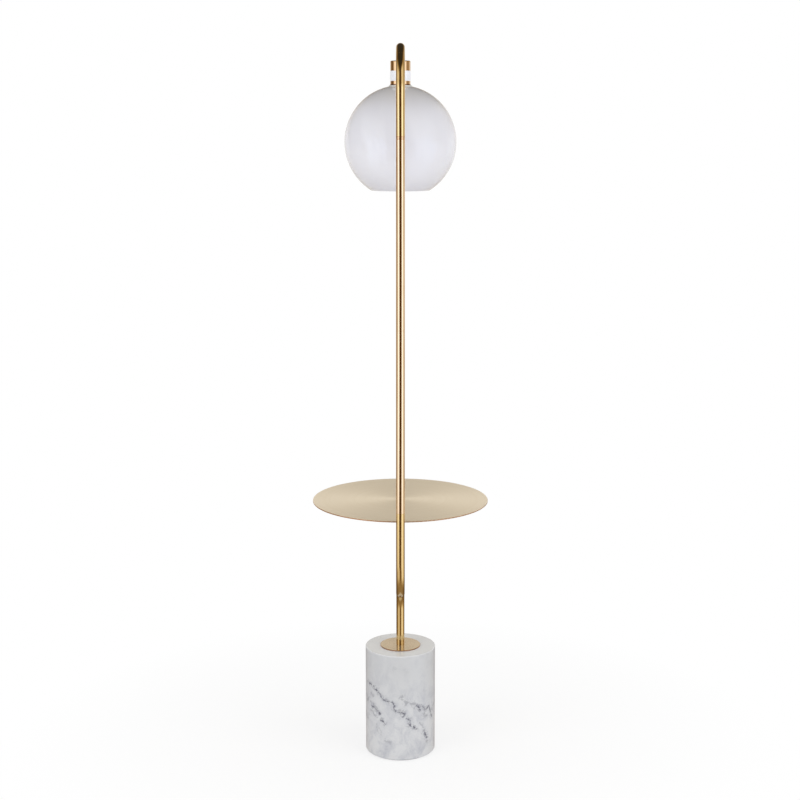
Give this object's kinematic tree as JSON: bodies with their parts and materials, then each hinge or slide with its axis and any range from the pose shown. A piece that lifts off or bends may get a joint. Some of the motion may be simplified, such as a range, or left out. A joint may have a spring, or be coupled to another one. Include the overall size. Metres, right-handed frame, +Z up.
{
  "type": "floor lamp with table",
  "caption": "Floor lamp: a bent tube steps forward from a marble drum, carries a round table behind it and hooks back over to hang an open opal globe.",
  "frame": {"origin": "centre of the foot's underside, on the floor, under the middle of the table and the globe", "axes": "+Z up, -Y towards the pole, which stands in front of the table and the globe, +X to its right"},
  "size_m": [0.406, 0.4255, 1.638],
  "materials": {
    "brass": "satin lacquered, fine lengthwise brush",
    "brass_plate": "bright satin, faintly mirroring",
    "brushed_brass": "pale, turned brush marks round the centre",
    "marble": "honed white marble with grey veins",
    "foam": "matte closed-cell foam",
    "rubber": "matte",
    "zinc_steel": "zinc plated",
    "opal_glass": "milk-white, glossy",
    "white_band": "plain matte white",
    "silicone": "translucent pale",
    "white_plastic": "glossy moulded white",
    "nickel": "nickel plated",
    "black_glass": "glossy black insulator",
    "bulb_white": "satin white",
    "frosted_glass": "frosted white dome"
  },
  "bodies": {
    "lamp": {"floor_pad": "foam", "marble_base": "marble", "cord_grommet": "rubber", "clamp_washer": "zinc_steel", "spring_washer": "zinc_steel", "base_nut": "zinc_steel", "tie_rod": "zinc_steel", "base_plate": "brass_plate", "lower_tube": "brass", "lower_pole": "brass", "upper_pole": "brass", "collar_ring": "brass", "top_arm": "brass", "arm_end_cap": "brass", "stem_plug": "zinc_steel", "lower_seam_lower_plug": "zinc_steel", "lower_seam_upper_plug": "zinc_steel", "lower_seam_stud": "zinc_steel", "middle_seam_lower_plug": "zinc_steel", "middle_seam_upper_plug": "zinc_steel", "middle_seam_stud": "zinc_steel", "collar_seam_lower_plug": "zinc_steel", "collar_seam_upper_plug": "zinc_steel", "collar_seam_stud": "zinc_steel", "table_top": "brushed_brass", "table_flange": "brass", "table_bar": "brass", "table_studs": "zinc_steel", "table_washers": "zinc_steel", "table_nuts": "zinc_steel", "arm_boss": "brass", "hang_nipple": "zinc_steel", "cup_locknut": "zinc_steel", "socket_cup": "brass", "cup_band": "white_band", "glass_globe": "opal_glass", "upper_gasket": "silicone", "lower_gasket": "silicone", "clamp_ring": "white_plastic", "holder_cap": "white_plastic", "holder_body": "white_plastic", "screw_shell": "nickel", "centre_contact": "brass", "terminal_screws": "brass"},
    "bulb": {"bulb_tip_insulator": "black_glass", "bulb_cap": "nickel", "bulb_body": "bulb_white", "bulb_dome": "frosted_glass"}
  },
  "joints": [
    {"name": "bulb_unscrew", "type": "hinge", "parent": "lamp", "child": "bulb", "pos_m": [0, 0, 1.54], "axis": [0, 0, -1], "range_deg": [0, 1800]}
  ]
}
